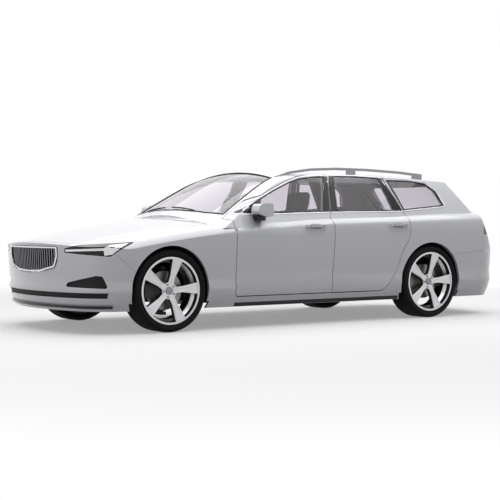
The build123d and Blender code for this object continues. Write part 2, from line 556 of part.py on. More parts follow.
def main():
    os.makedirs("parts", exist_ok=True)

    # Outer form and the hollows that make its walls
    low = low_body(0)
    house = house_body(0)
    outer = low + house
    low_panel = low_body(PANEL)
    low_wall = low_body(WALL)
    house_in = house_body(ROOF_WALL)
    shell_front = outer - (low_panel + house_in)
    shell_rear = outer - (low_wall + house_in)
    pane = house_body(GLASS_SET) - house_body(GLASS_SET + GLASS_SKIN)
    g = GAP / 2

    # Openings shared by several panels
    left_lamp = at_corner(HEADLAMP, 900, 2600)
    left_intake = at_corner(SIDE_INTAKE, 900, 2600)
    grille_hole = along_x(GRILLE, -2600, -2300)
    slot = box(-2600, -2160, -1000, 1000, 300, 345)
    hood_hole = along_z(grow(HOOD, g), 726, 1300)
    screen_hole = along_z(WINDSCREEN, 900, 1500)
    front_arches = arch_cuts(X_FRONT_AXLE, 476)
    rear_arches = arch_cuts(X_REAR_AXLE, 640)
    nose_cuts = [left_lamp, other_side(left_lamp), left_intake, other_side(left_intake), grille_hole, slot]

    # Hood, front bumper, fenders, cowl
    hood = shell_front & along_z(grow(HOOD, -g), 732, 1300)
    z_pin = path_height(CROWN_PATH, Z_PATH_START, X_HOOD_REAR) - PIN_RADIUS
    hood_pins = [cross_pin(X_HOOD_REAR, y, z_pin, 1) for y in (-Y_PIN, Y_PIN)]
    save("hood", hood.fuse(*[pin for pin, saddles in hood_pins]))
    rest = shell_front.cut(hood_hole, *nose_cuts, *front_arches)
    save("front_bumper", rest & along_y(grow(FRONT_BUMPER, -1), -1000, 1000) & box(-2700, -1800, -1000, 1000, 100, 1000))
    side_zone = box(-2300, X_DOOR_FRONT - g, -1000, -300, 150, 1100)
    cowl_zone = box(X_HOOD_REAR + g, X_DOOR_FRONT - g, -780, 780, 850, 1200)
    fender = (rest & side_zone).cut(along_y(grow(FRONT_BUMPER, 1), -1001, 1001), cowl_zone,
                                    leaned(grow(FRONT_DOOR, g), -Y_DOOR_TOP + GAP))
    door_pin, door_saddles = upright_pin(X_DOOR_FRONT, PIN_RADIUS - HALF_WIDTH, Z_DOOR_PIN, -1)
    fender = fender.fuse(*door_saddles)
    save("fenders", fender, other_side(fender))
    door_hole = leaned(grow(FRONT_DOOR, g), -Y_DOOR_TOP + GAP)
    cowl = (rest & cowl_zone).cut(screen_hole, door_hole, other_side(door_hole))
    save("cowl", cowl.fuse(*[s for pin, saddles in hood_pins for s in saddles]))

    # Sides with sills, pillars and quarter panels
    doors = {"front": (FRONT_DOOR, FRONT_WINDOW), "rear": (REAR_DOOR, REAR_WINDOW)}
    side = shell_rear & box(X_DOOR_FRONT - g, 2600, -1000, 0, 100, 1500)
    roof_zone = box(X_ROOF_FRONT, X_TAILGATE - g, -Y_ROOF_EDGE, Y_ROOF_EDGE, 1100, 1500)
    gate_zone = box(X_TAILGATE - g, 2700, -Y_TAILGATE - g, Y_TAILGATE + g, Z_TAILGATE - GAP, 1500)
    lamp_zone = along_y(TAIL_LAMP, -1001, -Y_TAILGATE - g + 1)
    side_cuts = [leaned(grow(outline, g), -Y_DOOR_TOP + GAP) for outline, window in doors.values()]
    side = side.cut(*side_cuts, roof_zone, screen_hole, gate_zone, lamp_zone, along_y(QUARTER_WINDOW, -1001, -500),
                    along_y(grow(REAR_BUMPER, 1), -1001, 1001), *rear_arches)
    hinge_post = ((low_panel - low_wall) & box(-1052, X_DOOR_FRONT - g, -1000, -830, SKIRT_LOW[0][1], 960)).cut(*side_cuts)
    save("body_side_left", side, hinge_post)
    save("body_side_right", other_side(side), other_side(hinge_post))
    hollow = low_wall + house_in
    centre_post = along_x(CENTRE_POST, 92, 172) & hollow
    save("centre_posts", centre_post, other_side(centre_post))

    # Roof, tailgate, rear bumper, lamps, panes
    z_pin = path_height(ROOF_PATH, Z_ROOF_START, X_TAILGATE) - PIN_RADIUS
    gate_pins = [cross_pin(X_TAILGATE, y, z_pin, -1) for y in (-Y_PIN, Y_PIN)]
    roof = (shell_rear & roof_zone) - screen_hole
    save("roof", roof.fuse(*[s for pin, saddles in gate_pins for s in saddles]))
    gate_in = box(X_TAILGATE + g, 2700, -Y_TAILGATE, Y_TAILGATE, Z_TAILGATE, 1500)
    back_hole = along_x(REAR_WINDOW_BACK, 1800, 2600)
    tailgate = (shell_rear & gate_in) - back_hole
    save("tailgate", tailgate.fuse(*[pin for pin, saddles in gate_pins]))
    save("rear_glass", pane & back_hole)
    save("rear_bumper", (shell_rear & along_y(grow(REAR_BUMPER, -1), -1000, 1000)).cut(*rear_arches))
    tail_lamp = shell_rear & along_y(grow(TAIL_LAMP, -LAMP_FIT), -1000, -Y_TAILGATE - g)
    save("tail_lamps", tail_lamp, other_side(tail_lamp))
    headlamp = (shell_front & at_corner(grow(HEADLAMP, -LAMP_FIT), 900, 2600)) - hood_hole
    save("headlamps", headlamp, other_side(headlamp))
    save("windscreen", pane & screen_hole)
    quarter = pane & along_y(QUARTER_WINDOW, -1001, -500)
    save("quarter_glasses", quarter, other_side(quarter))

    # Doors
    for name, (outline, window) in doors.items():
        window_hole = along_y(window, -1001, -560)
        door = (shell_rear & leaned(grow(outline, -g), -Y_DOOR_TOP)) - window_hole
        if name == "front":
            door = door.fuse(door_pin)
        glass = pane & window_hole
        x_handle, z_handle = (-80, 888) if name == "front" else (912, 897)
        grip = box(x_handle - 112, x_handle + 112, -966, -952, z_handle - 11, z_handle + 11)
        grip = grip.fuse(box(x_handle - 112, x_handle - 84, -953, -920, z_handle - 11, z_handle + 11),
                         box(x_handle + 84, x_handle + 112, -953, -920, z_handle - 11, z_handle + 11)) - outer
        for side_name, turn in (("left", lambda s: s), ("right", other_side)):
            save("door_" + name + "_" + side_name, turn(door), turn(grip))
            save("door_glass_" + name + "_" + side_name, turn(glass))
    mirror_body = along_y([(-770, 1000, 30), (-745, 1082, 40), (-610, 1090, 30), (-596, 985, 40), (-650, 962, 60)], -1010, -892)
    mirror_foot = box(-735, -650, -950, -840, 938, 975) - outer
    door_mirror = mirror_body.fuse(mirror_foot)
    save("mirror_left", door_mirror)
    save("mirror_right", other_side(door_mirror))

    # Grille, intakes, lip, rails
    band = hull(-5) - hull(22)
    frame = band & (along_x(GRILLE, -2600, -2300) - along_x(grow(GRILLE, -GRILLE_FRAME), -2600, -2300))
    opening = grow(GRILLE, -GRILLE_FRAME)
    bars = []
    for k in range(GRILLE_BARS):
        y = (k - (GRILLE_BARS - 1) / 2) * 33.4
        bars.append(box(-2600, -2300, y - 5, y + 5, 480, 740))
    comb = (hull(4) - hull(24)) & (along_x(opening, -2600, -2300) & bars[0].fuse(*bars[1:]))
    back = (hull(24) - hull(30)) & along_x(GRILLE, -2600, -2300)
    save("grille", frame, comb, back)
    intake = (hull(14) - hull(PANEL)) & left_intake
    slot_fill = (hull(12) - hull(PANEL)) & slot
    save("intake_grilles", intake, other_side(intake), slot_fill)
    lip = ((hull(-16) - hull(0)) & box(-2600, -2120, -1000, 1000, 214, 236))
    save("front_lip", lip)
    low_edge = [(x, z - RAIL_HEIGHT, r) for x, z, r in reversed(RAIL_TOP)]
    rail = along_y(RAIL_TOP + low_edge, *RAIL_Y)
    for x0, x1 in RAIL_FEET:
        z_foot = min(level([p[:2] for p in RAIL_TOP], x) for x in (x0, x1)) - RAIL_HEIGHT / 2
        rail = rail.fuse(box(x0, x1, *RAIL_Y, 1300, z_foot))
    rail = rail - outer
    save("roof_rails", rail, other_side(rail))

    # Floor, fire wall, wheel houses, engine
    cabin = low_wall
    floor = (cabin & box(-1052, 640, -1000, 1000, 225, 245)).fuse(cabin & box(620, 640, -1000, 1000, 245, 500),
                                                                  cabin & box(620, 2440, -1000, 1000, 500, 520))
    tunnel = box(-1052, 620, -150, 150, 245, 400)
    floor = floor.fuse(tunnel).cut(*arch_cuts(X_REAR_AXLE, 640 - LINER_SKIN),
                                   cylinder_y(X_REAR_AXLE, Z_AXLE, ARCH_HOUSE + LINER_SKIN, -1000, -640 + LINER_SKIN),
                                   cylinder_y(X_REAR_AXLE, Z_AXLE, ARCH_HOUSE + LINER_SKIN, 640 - LINER_SKIN, 1000))
    save("floor_pan", floor)
    save("fire_wall", (low_panel & box(-1074, -1052, -1000, 1000, 225, 1000)))
    front_liner = liner(X_FRONT_AXLE, 476, low_panel)
    rear_liner = liner(X_REAR_AXLE, 640, low_wall)
    save("wheel_houses", front_liner, other_side(front_liner), rear_liner, other_side(rear_liner))
    x0, x1, y1, z0, z1 = ENGINE
    save("engine", box(x0, x1, -y1, y1, z0, z1))

    # Chassis: cradles, arms, struts, knuckles
    cradle = [box(-1900, X_FIRE_WALL, y - 35, y + 35, *CRADLE_Z) for y in (-385, 385)]
    cradle += [box(x - 40, x + 40, -380, 380, *CRADLE_Z) for x in (-1860, -1340)]
    cradle += [box(-1890, -1830, y - 30, y + 30, CRADLE_Z[1] - 10, ENGINE[3]) for y in (-180, 180)]
    cradle += [box(-1560, -1500, *sorted((turn * ENGINE[2], turn * 352)), 270, ENGINE[3] + 20) for turn in (-1, 1)]
    bores = []
    for turn in (-1, 1):
        y_pin = turn * Y_KINGPIN
        cradle.append(box(-1622, -1570, *sorted((turn * 400, turn * Y_ARM_END)), *Z_ARM_LOW))
        cradle.append(box(-1622, -1570, *sorted((turn * 360, turn * 420)), Z_ARM_LOW[0], CRADLE_Z[1]))
        strut_top = Z_AXLE + ARCH_HOUSE - 1.2
        cradle.append(Solid.make_cylinder(STRUT_RADIUS, strut_top - Z_ARM_LOW[0] - 5,
                                          Plane((X_FRONT_AXLE, turn * Y_STRUT, Z_ARM_LOW[0] + 5))))
        cradle.append(box(X_FRONT_AXLE - 24, X_FRONT_AXLE + 24, *sorted((turn * Y_STRUT, turn * Y_ARM_END)), *Z_ARM_HIGH))
        bores.append(Solid.make_cylinder(KINGPIN_RADIUS + RUNNING_FIT, 500, Plane((X_FRONT_AXLE, y_pin, 100))))
    save("front_cradle", cradle[0].fuse(*cradle[1:]).cut(*bores))
    for turn, name in ((-1, "left"), (1, "right")):
        upright = box(X_FRONT_AXLE - 30, X_FRONT_AXLE + 30, *sorted((turn * 735, turn * 772)), *Z_UPRIGHT)
        kingpin = Solid.make_cylinder(KINGPIN_RADIUS, Z_ARM_HIGH[1] - Z_ARM_LOW[0],
                                      Plane((X_FRONT_AXLE, turn * Y_KINGPIN, Z_ARM_LOW[0])))
        bearing = cylinder_y(X_FRONT_AXLE, Z_AXLE, 48, *sorted((turn * 690, turn * 776)))
        spindle = axle_spindle(X_FRONT_AXLE, turn)
        caliper = box(X_FRONT_AXLE - 205, X_FRONT_AXLE - 112, *sorted((turn * 756, turn * 776)), 290, 410)
        bridge = box(X_FRONT_AXLE - 205, X_FRONT_AXLE - 172, *sorted((turn * 756, turn * 836)), 290, 410)
        clamp = box(X_FRONT_AXLE - 205, X_FRONT_AXLE - 100, *sorted((turn * 816, turn * 836)), 290, 410)
        link = box(X_FRONT_AXLE - 130, X_FRONT_AXLE, *sorted((turn * 740, turn * 770)), 320, 380)
        upright = upright.fuse(kingpin, spindle)
        save("knuckle_front_" + name, upright.fuse(bearing, caliper, bridge, clamp, link))
    beam = [box(X_REAR_AXLE - 60, X_REAR_AXLE + 60, -620, 620, 300, 380)]
    for turn in (-1, 1):
        beam.append(cylinder_y(X_REAR_AXLE, Z_AXLE, 48, *sorted((turn * 600, turn * 776))))
        beam.append(axle_spindle(X_REAR_AXLE, turn))
        beam.append(box(X_REAR_AXLE - 36, X_REAR_AXLE + 36, *sorted((turn * 700, turn * 772)), 240, 460))
        beam.append(box(X_REAR_AXLE - 400, X_REAR_AXLE, *sorted((turn * 560, turn * 610)), 300, 350))
        beam.append(Solid.make_cylinder(40, Z_LOAD_FLOOR - 370, Plane((X_REAR_AXLE, turn * 560, 370))))
        beam.append(box(X_REAR_AXLE + 20, X_REAR_AXLE + 205, *sorted((turn * 756, turn * 776)), 300, 400))
        beam.append(box(X_REAR_AXLE + 172, X_REAR_AXLE + 205, *sorted((turn * 756, turn * 830)), 300, 400))
        beam.append(box(X_REAR_AXLE + 110, X_REAR_AXLE + 205, *sorted((turn * 816, turn * 830)), 300, 400))
    save("rear_axle", beam[0].fuse(*beam[1:]))
    silencer = cylinder_y(X_SILENCER, Z_SILENCER, SILENCER_RADIUS, -330, 330)
    pipe = Solid.make_cylinder(PIPE_RADIUS, X_SILENCER + 1040, Plane((-1040, 0, Z_PIPE), z_dir=(1, 0, 0)))
    hangers = [box(X_SILENCER - 8, X_SILENCER + 8, y - 8, y + 8, Z_SILENCER, Z_LOAD_FLOOR) for y in (-200, 200)]
    hangers.append(box(-508, -492, -8, 8, Z_PIPE, Z_FLOOR_UNDER))
    save("exhaust", silencer.fuse(pipe, *hangers))

    # Cabin
    seats = []
    for y in (-Y_SEAT, Y_SEAT):
        x, w = X_SEAT, SEAT_WIDTH
        base = box(x - 250, x + 250, y - w / 2, y + w / 2, 245, 470)
        rear = along_y([(x + 190, 420, 30), (x + 300, 400, 30), (x + 470, 1020, 40), (x + 360, 1040, 40)], y - w / 2, y + w / 2)
        head = along_y([(x + 375, 1050, 30), (x + 470, 1035, 30), (x + 500, 1200, 40), (x + 420, 1210, 40)], y - 130, y + 130)
        neck = box(x + 400, x + 440, y - 60, y + 60, 1000, 1080)
        seats.append(base.fuse(rear, head, neck))
    save("front_seats", *seats)
    bench = along_y([(430, 400, 0), (620, 400, 0), (620, 520, 0), (980, 520, 0), (960, 560, 20), (1120, 1000, 40),
                     (1010, 1030, 40), (830, 600, 40), (430, 560, 60)], -600, 600)
    save("rear_bench", bench)
    dash = along_y([(-1052, 560, 0), (-1052, 985, 0), (-900, 1000, 60), (-700, 975, 60), (-690, 880, 40), (-800, 600, 30)],
                   -DASH_HALF_WIDTH, DASH_HALF_WIDTH) & hollow
    save("dashboard", dash)
    wheel_axis = Plane(origin=(-560, -370, 960), z_dir=(math.cos(math.radians(25)), 0, math.sin(math.radians(25))))
    steer = Solid.make_torus(180, 15, wheel_axis)
    steer_hub = Solid.make_cylinder(45, 80, Plane(origin=(-590, -370, 946), z_dir=(math.cos(math.radians(25)), 0,
                                                                                  math.sin(math.radians(25)))))
    save("steering_wheel", steer, steer_hub)

    # Wheels
    for side_turn, side_name in ((-1, "left"), (1, "right")):
        wheel(side_turn, X_FRONT_AXLE, "front_" + side_name)
        wheel(side_turn, X_REAR_AXLE, "rear_" + side_name)


main()
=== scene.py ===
import json
import math

import bpy
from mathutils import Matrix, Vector
from mathutils.bvhtree import BVHTree


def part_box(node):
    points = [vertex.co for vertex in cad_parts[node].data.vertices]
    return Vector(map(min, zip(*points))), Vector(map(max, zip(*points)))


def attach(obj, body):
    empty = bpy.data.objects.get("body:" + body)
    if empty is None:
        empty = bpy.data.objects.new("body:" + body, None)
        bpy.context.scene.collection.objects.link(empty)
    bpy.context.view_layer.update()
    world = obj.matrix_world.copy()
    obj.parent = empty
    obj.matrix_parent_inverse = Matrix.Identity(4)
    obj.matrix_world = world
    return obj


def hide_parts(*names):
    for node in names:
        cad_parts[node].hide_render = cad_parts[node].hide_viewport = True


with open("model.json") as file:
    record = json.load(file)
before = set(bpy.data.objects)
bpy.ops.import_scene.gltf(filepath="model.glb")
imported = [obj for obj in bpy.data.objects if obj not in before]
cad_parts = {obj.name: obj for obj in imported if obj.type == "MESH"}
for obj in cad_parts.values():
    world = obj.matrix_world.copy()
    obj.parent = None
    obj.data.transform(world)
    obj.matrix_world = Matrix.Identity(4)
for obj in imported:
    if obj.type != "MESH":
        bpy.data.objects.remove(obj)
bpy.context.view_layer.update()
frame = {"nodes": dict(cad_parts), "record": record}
nodes = frame["nodes"]

SIDES = (("left", -1), ("right", 1))
AXLES = ("front", "rear")
# Vertices of a CAD mesh nearer than this are one
MERGE = 0.00001
# Edges sharper than these stay crisp: body panels, small parts, rods, soft parts
PANEL_SMOOTH = math.radians(28)
PART_SMOOTH = math.radians(40)
ROD_SMOOTH = math.radians(50)
SOFT_SMOOTH = math.radians(60)
# Longest side of an outline laid on the skin, and how far what lies on the skin is lifted off it
LAY_STEP = 0.05
LIFT = 0.001
COVER_LIFT = 0.0012
COVER_THICKNESS = 0.002
# Radii of the rods that stand for trim
SEAL_RADIUS = 0.006
STRIP_RADIUS = 0.0055
GRILLE_JOINT_RADIUS = 0.0035
SCREEN_SEAL_RADIUS = 0.009
WIPER_RADIUS = 0.006

# Window outlines seen from the side: x, z in metres
FRONT_WINDOW = [
    (-0.700, 1.000), (-0.706, 1.085), (-0.624, 1.122), (-0.440, 1.204), (-0.247, 1.278), (-0.110, 1.317),
    (0.060, 1.340), (0.188, 1.346), (0.062, 1.022), (-0.314, 1.012),
]
REAR_WINDOW = [(0.222, 1.024), (0.300, 1.349), (0.560, 1.352), (0.852, 1.342), (0.925, 1.036)]
QUARTER_WINDOW = [
    (1.061, 1.043), (0.961, 1.326), (1.240, 1.322), (1.455, 1.298), (1.562, 1.224), (1.618, 1.088),
]
# Bright strips: name, the node each lies on without its side, and its x, z
BRIGHT_STRIPS = [
    ("front_top", "door_front", [
        (-0.925, 1.000), (-0.760, 1.083), (-0.632, 1.134), (-0.445, 1.216), (-0.255, 1.290), (-0.120, 1.329),
        (0.060, 1.353), (0.232, 1.359)]),
    ("front_sill", "door_front", [
        (-0.925, 0.994), (-0.700, 0.988), (-0.314, 1.000), (0.060, 1.010), (0.132, 1.012)]),
    ("rear_top", "door_rear", [(0.250, 1.360), (0.560, 1.363), (0.918, 1.352)]),
    ("rear_sill", "door_rear", [(0.150, 1.012), (0.580, 1.019), (1.036, 1.026)]),
    ("quarter", "body_side", [
        (0.945, 1.348), (1.100, 1.346), (1.250, 1.338), (1.466, 1.312), (1.585, 1.230), (1.636, 1.082),
        (1.600, 1.072), (1.330, 1.050), (1.060, 1.030)]),
]
# Black covers on pillars and mirror foot, and a black band along the foot of the sill: name, node without its
# side, corners x, z
BLACK_COVERS = [
    ("middle_pillar_front", "door_front", [(0.064, 1.018), (0.138, 1.018), (0.229, 1.348), (0.190, 1.348)]),
    ("middle_pillar_rear", "door_rear", [(0.149, 1.019), (0.222, 1.020), (0.301, 1.352), (0.240, 1.352)]),
    ("rear_pillar_door", "door_rear", [(0.927, 1.032), (1.036, 1.032), (0.929, 1.344), (0.854, 1.344)]),
    ("rear_pillar_body", "body_side", [(1.050, 1.038), (1.060, 1.040), (0.961, 1.328), (0.945, 1.328)]),
    ("sill_edge", "body_side", [(-0.935, 0.193), (0.950, 0.193), (0.950, 0.226), (-0.935, 0.226)]),
    ("mirror_sail", "door_front", [(-0.902, 1.004), (-0.708, 1.000), (-0.708, 1.087)]),
]
# Light bar of the headlamp: distance along the front corner, z
LIGHT_BAR = [
    (-1.300, 0.681), (-1.300, 0.698), (-0.950, 0.712), (-0.905, 0.736), (-0.775, 0.751), (-0.884, 0.660),
    (-0.945, 0.651), (-0.950, 0.692),
]
# Grille edge seen from the front (y, z) and windscreen edge seen from above (x, y), one half of each
GRILLE_EDGE = [
    (0.0, 0.500), (0.200, 0.508), (0.405, 0.548), (0.436, 0.600), (0.447, 0.640), (0.447, 0.705),
    (0.432, 0.722), (0.0, 0.722),
]
SCREEN_EDGE = [
    (-1.066, 0.0), (-1.048, 0.300), (-1.006, 0.556), (-0.952, 0.734), (-0.330, 0.600), (-0.338, 0.0),
]
# The grille's frame and back are wider than this, its bars narrower
GRILLE_WIDE = 0.6

# Painted shade behind each pull handle, a dark oval where its hollow would be: door end, middle x, z; half
# length and half height
HANDLES = (("front", -0.080, 0.886), ("rear", 0.912, 0.895))
SHADE_PATCH_HALF = (0.080, 0.021)
SHADE_PATCH_LIFT = 0.0006
SHADE_PATCH_POINTS = 18

# Tyre section: radius, distance from the middle plane; four grooves round the tread
TYRE_HALF = [
    (0.272, 0.104), (0.290, 0.108), (0.296, 0.112), (0.318, 0.1215), (0.334, 0.116), (0.345, 0.106),
    (0.3490, 0.092), (0.3495, 0.072), (0.343, 0.070), (0.343, 0.062), (0.3498, 0.060), (0.3498, 0.028),
    (0.343, 0.026), (0.343, 0.018), (0.3498, 0.016),
]
TYRE_STEPS = 96
TYRE_MERGE = 0.00005
# Cuts across the tread: how many round, how far they slant, how narrow; inside the radius there are none
CUTS_ROUND = 72.0
CUT_SLANT = 60.0
CUT_LEVEL = -0.75
CUT_DEPTH = 0.003
TREAD_RADIUS = 0.335
# Ridges along both edges of each spoke: radius, half width of the spoke, distance outboard
SPOKE_DEGREES = (4, 76, 148, 220, 292)
SPOKE_EDGE = ((0.085, 0.018, 0.0895), (0.14, 0.016, 0.0963), (0.20, 0.024, 0.1038), (0.255, 0.036, 0.1098))
RIDGE_RADIUS = 0.0035
# Hub cap and wheel bolts: radius, depth, distance outboard; bolt circle and its first bolt
HUB_CAP = (0.034, 0.012, 0.090)
BOLT = (0.0095, 0.012, 0.088)
BOLT_COUNT = 5
BOLT_CIRCLE = 0.054
FIRST_BOLT_DEGREES = 40

# Pieces that keep the CAD form: node, slot, material
PLAIN_PIECES = (
    ("dashboard", "black_plastic", "plastic"), ("centre_posts", "floor_paint", "plastic"),
    ("floor_pan", "floor_paint", "under"), ("fire_wall", "floor_paint", "under"),
    ("wheel_houses", "black_plastic", "plastic"),
    ("engine", "cast_metal", "iron"), ("front_cradle", "cast_metal", "iron"),
    ("rear_axle", "cast_metal", "iron"), ("exhaust", "pipe_steel", "pipe"),
    ("knuckle_front_left", "cast_metal", "iron"), ("knuckle_front_right", "cast_metal", "iron"),
)
# Seats: grain of the remeshed cushion and passes of smoothing
CUSHION_VOXEL = 0.014
CUSHION_PASSES = 8
# Liners of the wheel houses: lowest lip, its half width, how fast it widens and up to where, where they end
LIP_Z = 0.19
LIP_HALF_WIDTH = 0.836
LIP_SLOPE = 0.40
LIP_RISE = 0.16
LINER_TOP = 0.42
BODY_WIDEST_X = 0.1
SIDE_BOW = 180
# Steering wheel: middle of its hub, its axis, column length and radius, spoke from and to, spoke radius
WHEEL_HUB = (-0.556, -0.370, 0.962)
WHEEL_AXIS = (0.906308, 0.0, 0.422618)
COLUMN = (0.012, 0.26, 0.028)
WHEEL_SPOKE = (0.05, 0.178, 0.011)
# Mirror glass and foot, seen for the left side: low and high corner with y as distance from the middle
MIRROR_FACE = ((-0.609, 0.900, 1.000), (-0.600, 1.002, 1.078))
MIRROR_FOOT = ((-0.738, 0.850, 0.935), (-0.647, 0.953, 0.990))
# Wipers: y of pivot and tip; x of both; points along each; lift off the glass
WIPERS = ((-0.52, -0.02), (0.10, 0.60))
WIPER_X = -1.03
WIPER_POINTS = 9
WIPER_LIFT = 0.010

# Floor: size, where it starts and ends fading to plain white, share of white near the car
FLOOR_SIZE = 90
FLOOR_FADE = (2.4, 7.0)
FLOOR_WHITE = 0.30
WORLD_STRENGTH = 0.16
# Lamps: name, place, width and length, watts, point aimed at
LAMPS = (
    ("top_light", (0.0, 0.0, 4.4), (10.0, 5.0), 235, (0, 0, 0)),
    ("left_light", (1.0, -4.6, 5.6), (9.0, 4.0), 110, (0, 0, 0.9)),
    ("right_light", (1.0, 4.6, 5.6), (9.0, 4.0), 80, (0, 0, 0.9)),
    ("front_light", (-10.0, -1.5, 2.6), (4.0, 3.0), 95, (0, 0, 0.6)),
)
# Camera fitted to the photo: place, heading and downward tilt in degrees, focal length in frame widths
CAMERA_PLACE = (-7.1312, -9.9294, 0.9261)
CAMERA_HEADING = -35.1171
CAMERA_TILT = 1.2745
CAMERA_FOCAL = 2.5327
SENSOR_MM = 36.0


def linear(hex_code):
    """Linear colour of an sRGB hex value."""
    parts = [int(hex_code[i:i + 2], 16) / 255 for i in (1, 3, 5)]
    return tuple(c / 12.92 if c <= 0.04045 else ((c + 0.055) / 1.055) ** 2.4 for c in parts) + (1.0,)


def add_node(tree, kind, settings=None, inputs=None):
    """Adds a node; settings are its attributes, inputs are values or sockets to link."""
    new = tree.nodes.new(kind)
    for key, value in (settings or {}).items():
        setattr(new, key, value)
    for key, value in (inputs or {}).items():
        if isinstance(value, bpy.types.NodeSocket):
            tree.links.new(value, new.inputs[key])
        else:
            new.inputs[key].default_value = value
    return new


def reckon(tree, operation, *values):
    """Output of a math node on plain values or sockets."""
    return add_node(tree, "ShaderNodeMath", {"operation": operation}, dict(enumerate(values))).outputs[0]


def finish_material(name, colour, roughness, metallic=0.0, **sockets):
    """Principled material with its plain values set; returns the material, its tree and the shader."""
    mat = bpy.data.materials.new(name)
    mat.use_nodes = True
    tree = mat.node_tree
    shader = tree.nodes["Principled BSDF"]
    shader.inputs["Base Color"].default_value = linear(colour)
    shader.inputs["Roughness"].default_value = roughness
    shader.inputs["Metallic"].default_value = metallic
    for key, value in sockets.items():
        shader.inputs[key.replace("_", " ")].default_value = value
    mat.diffuse_color = linear(colour)
    return mat, tree, shader


def two_tones(tree, shader, share, first, second):
    """Base colour that goes from the first to the second by share."""
    mix = add_node(tree, "ShaderNodeMix", {"data_type": "RGBA"}, {"Factor": share})
    mix.inputs["A"].default_value = linear(first)
    mix.inputs["B"].default_value = linear(second)
    tree.links.new(mix.outputs["Result"], shader.inputs["Base Color"])


def grain(tree, shader, size_mm, depth_mm, vary=None, base=None):
    """Bump of a given grain size, and with vary two colours in patches nine grains across."""
    place = add_node(tree, "ShaderNodeTexCoord").outputs["Object"]
    noise = add_node(tree, "ShaderNodeTexNoise", None,
                     {"Vector": place, "Scale": 1000 / size_mm, "Detail": 3.0})
    bump = add_node(tree, "ShaderNodeBump", None,
                    {"Height": noise.outputs["Fac"], "Distance": depth_mm / 1000, "Strength": 0.6})
    tree.links.new(bump.outputs["Normal"], shader.inputs["Normal"])
    if vary:
        broad = add_node(tree, "ShaderNodeTexNoise", None,
                         {"Vector": place, "Scale": 1000 / (size_mm * 9), "Detail": 4.0})
        two_tones(tree, shader, broad.outputs["Fac"], base, vary)


def pearl_paint():
    # Metallic pearl lacquer: a pale silver-white ground with fine flake under a hard clear coat
    flake_mm = 1.2
    mat, tree, shader = finish_material("pearl_lacquer", "#DCDDE1", 0.42, 0.1,
                                        Coat_Weight=1.0, Coat_Roughness=0.03)
    place = add_node(tree, "ShaderNodeTexCoord").outputs["Object"]
    flake = add_node(tree, "ShaderNodeTexVoronoi", None, {"Vector": place, "Scale": 1000 / flake_mm})
    two_tones(tree, shader, flake.outputs["Distance"], "#E0E1E6", "#D3D4DA")
    return mat


def window_glass():
    # Lightly tinted laminated glass: clear, faintly lilac, with a sharp reflection
    return finish_material("tinted_glass", "#E2DEE4", 0.0, 0.0, Transmission_Weight=1.0, IOR=1.38)[0]


def black_gloss():
    # Polished black acrylic: deep black with a sharp reflection
    mat, tree, shader = finish_material("black_acrylic", "#030304", 0.08, 0.0, Specular_IOR_Level=0.35)
    grain(tree, shader, 40, 0.02)
    return mat


def moulded_black():
    # Grained black polypropylene: matt with a fine leather-like grain
    mat, tree, shader = finish_material("grained_polypropylene", "#0A0A0B", 0.6, 0.0, Specular_IOR_Level=0.25)
    grain(tree, shader, 2.2, 0.15, "#0D0D0F", "#080809")
    return mat


def chrome():
    # Chromed plastic: mirror bright
    mat, tree, shader = finish_material("bright_chrome", "#D9DADC", 0.12, 1.0)
    grain(tree, shader, 60, 0.02)
    return mat


def dark_chrome():
    # Smoked chrome of the bars: a darker mirror
    mat, tree, shader = finish_material("smoked_chrome", "#85868A", 0.2, 1.0)
    grain(tree, shader, 30, 0.02)
    return mat


def machined_alloy():
    # Diamond-turned aluminium under lacquer: bright, with faint turning marks
    mat, tree, shader = finish_material("turned_aluminium", "#C9CACC", 0.26, 0.9,
                                        Coat_Weight=0.5, Coat_Roughness=0.08)
    grain(tree, shader, 3.0, 0.03, "#C1C2C5", "#D0D1D3")
    return mat


def dark_alloy():
    # Grey lacquered casting inside the wheel
    mat, tree, shader = finish_material("grey_cast_aluminium", "#3A3B3D", 0.45, 0.7)
    grain(tree, shader, 2.0, 0.1)
    return mat


def satin_rail():
    # Satin anodised aluminium
    mat, tree, shader = finish_material("anodised_aluminium", "#8E9093", 0.34, 0.9)
    grain(tree, shader, 1.6, 0.04)
    return mat


def cast_iron():
    # Rough cast iron and painted steel of the running gear
    mat, tree, shader = finish_material("cast_iron", "#47474A", 0.6, 0.7)
    grain(tree, shader, 3.0, 0.3, "#3A3633", "#4E4E51")
    return mat


def turned_iron():
    # Ground face of a brake disc: bright grey with a soft grain and a breath of rust
    mat, tree, shader = finish_material("ground_iron", "#8D8C8B", 0.36, 0.95)
    grain(tree, shader, 2.4, 0.08, "#7E7A76", "#979694")
    return mat


def steel_pipe():
    # Brushed stainless steel, browned by heat
    mat, tree, shader = finish_material("stainless_steel", "#8C8984", 0.4, 0.9)
    grain(tree, shader, 2.5, 0.06, "#7C746A", "#94918C")
    return mat


def underbody():
    # Stone-chip coating: dark, matt and pebbled
    mat, tree, shader = finish_material("underbody_coating", "#1C1C1E", 0.75)
    grain(tree, shader, 5.0, 0.5, "#252527", "#161617")
    return mat


def leather():
    # Grained dark leather, nearly matt
    mat, tree, shader = finish_material("grained_leather", "#100E0E", 0.55, 0.0, Specular_IOR_Level=0.3)
    grain(tree, shader, 1.8, 0.25, "#141211", "#0C0B0A")
    return mat


def roof_lining():
    # Knitted roof lining: pale warm grey, fully matt
    mat, tree, shader = finish_material("knitted_lining", "#DAD6D8", 0.95)
    grain(tree, shader, 1.5, 0.2, "#E0DCDE", "#D3CFD1")
    return mat


def lit_lamp():
    # Frosted white light guide, softly lit
    mat, tree, shader = finish_material("frosted_light_guide", "#F5F6F8", 0.25, 0.0, Coat_Weight=1.0)
    shader.inputs["Emission Color"].default_value = linear("#FFFFFF")
    shader.inputs["Emission Strength"].default_value = 0.25
    grain(tree, shader, 8.0, 0.05)
    return mat


